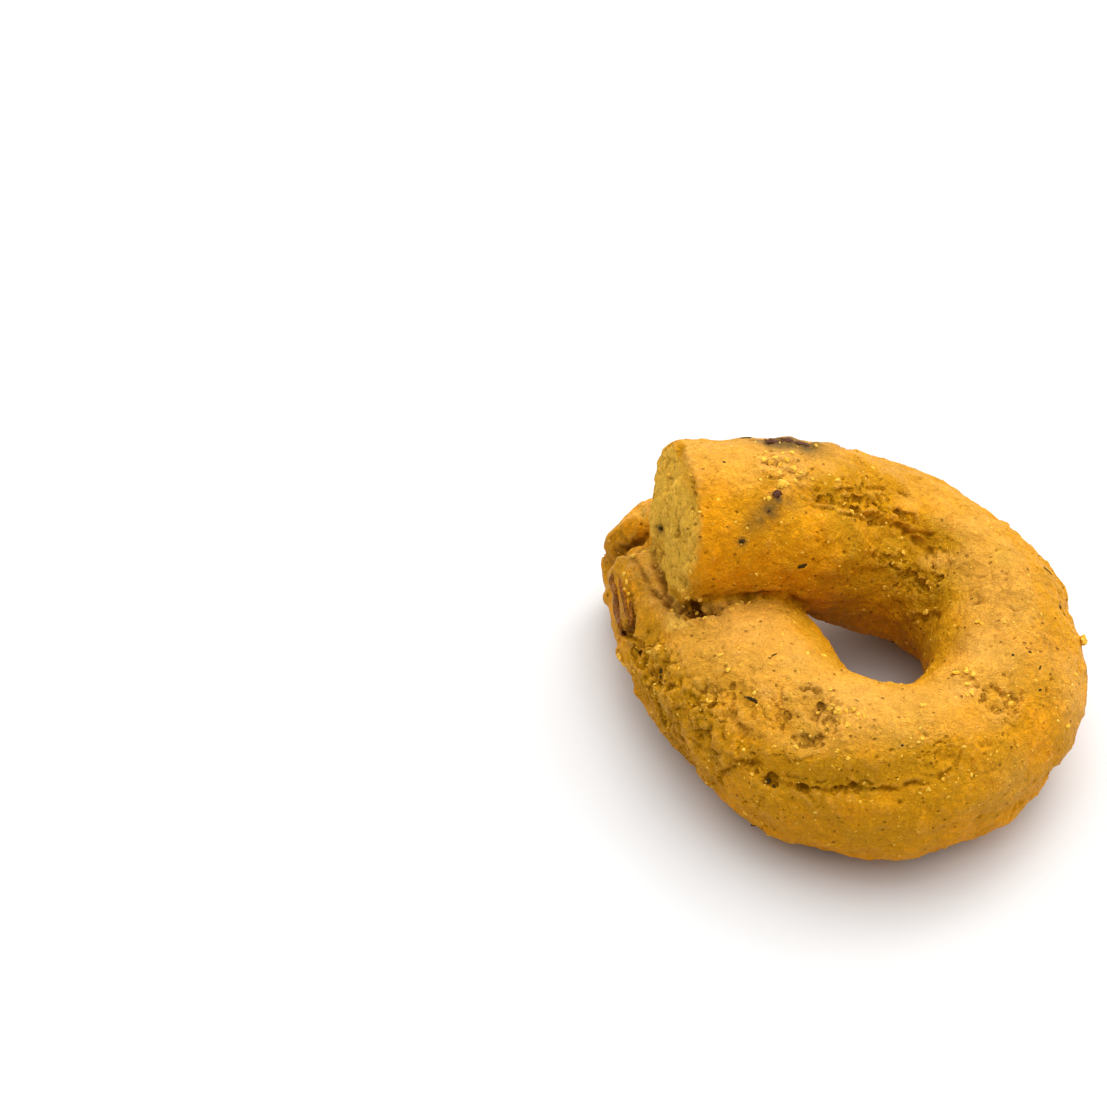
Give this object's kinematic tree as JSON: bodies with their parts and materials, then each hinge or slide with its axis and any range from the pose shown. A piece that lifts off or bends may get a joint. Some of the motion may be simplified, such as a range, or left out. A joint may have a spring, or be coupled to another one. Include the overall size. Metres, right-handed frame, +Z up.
{
  "type": "tarallo",
  "caption": "Small baked snack: a thick rope of golden dough bent into a ring, its cut upper end crossing over its lower end.",
  "frame": {"origin": "on the table, under the middle of the tarallo's bounding box", "axes": "+Z up from the table; +Y towards the back, where the two ends cross at the left; +X to the right"},
  "size_m": [0.0408, 0.039, 0.0226],
  "materials": {
    "baked_dough": "baked golden dough, matt with a faint oily sheen, pitted with pinholes and fine cracks",
    "grain": "pale yellow semolina grains and torn crumbs, matt",
    "herb": "dark green dried herb flecks, matt",
    "olive": "dark purple-brown olive bits, soft sheen",
    "tomato": "dark red dried tomato, wrinkled, soft sheen"
  },
  "bodies": {
    "root": {"tarallo": "baked_dough"}
  },
  "joints": []
}
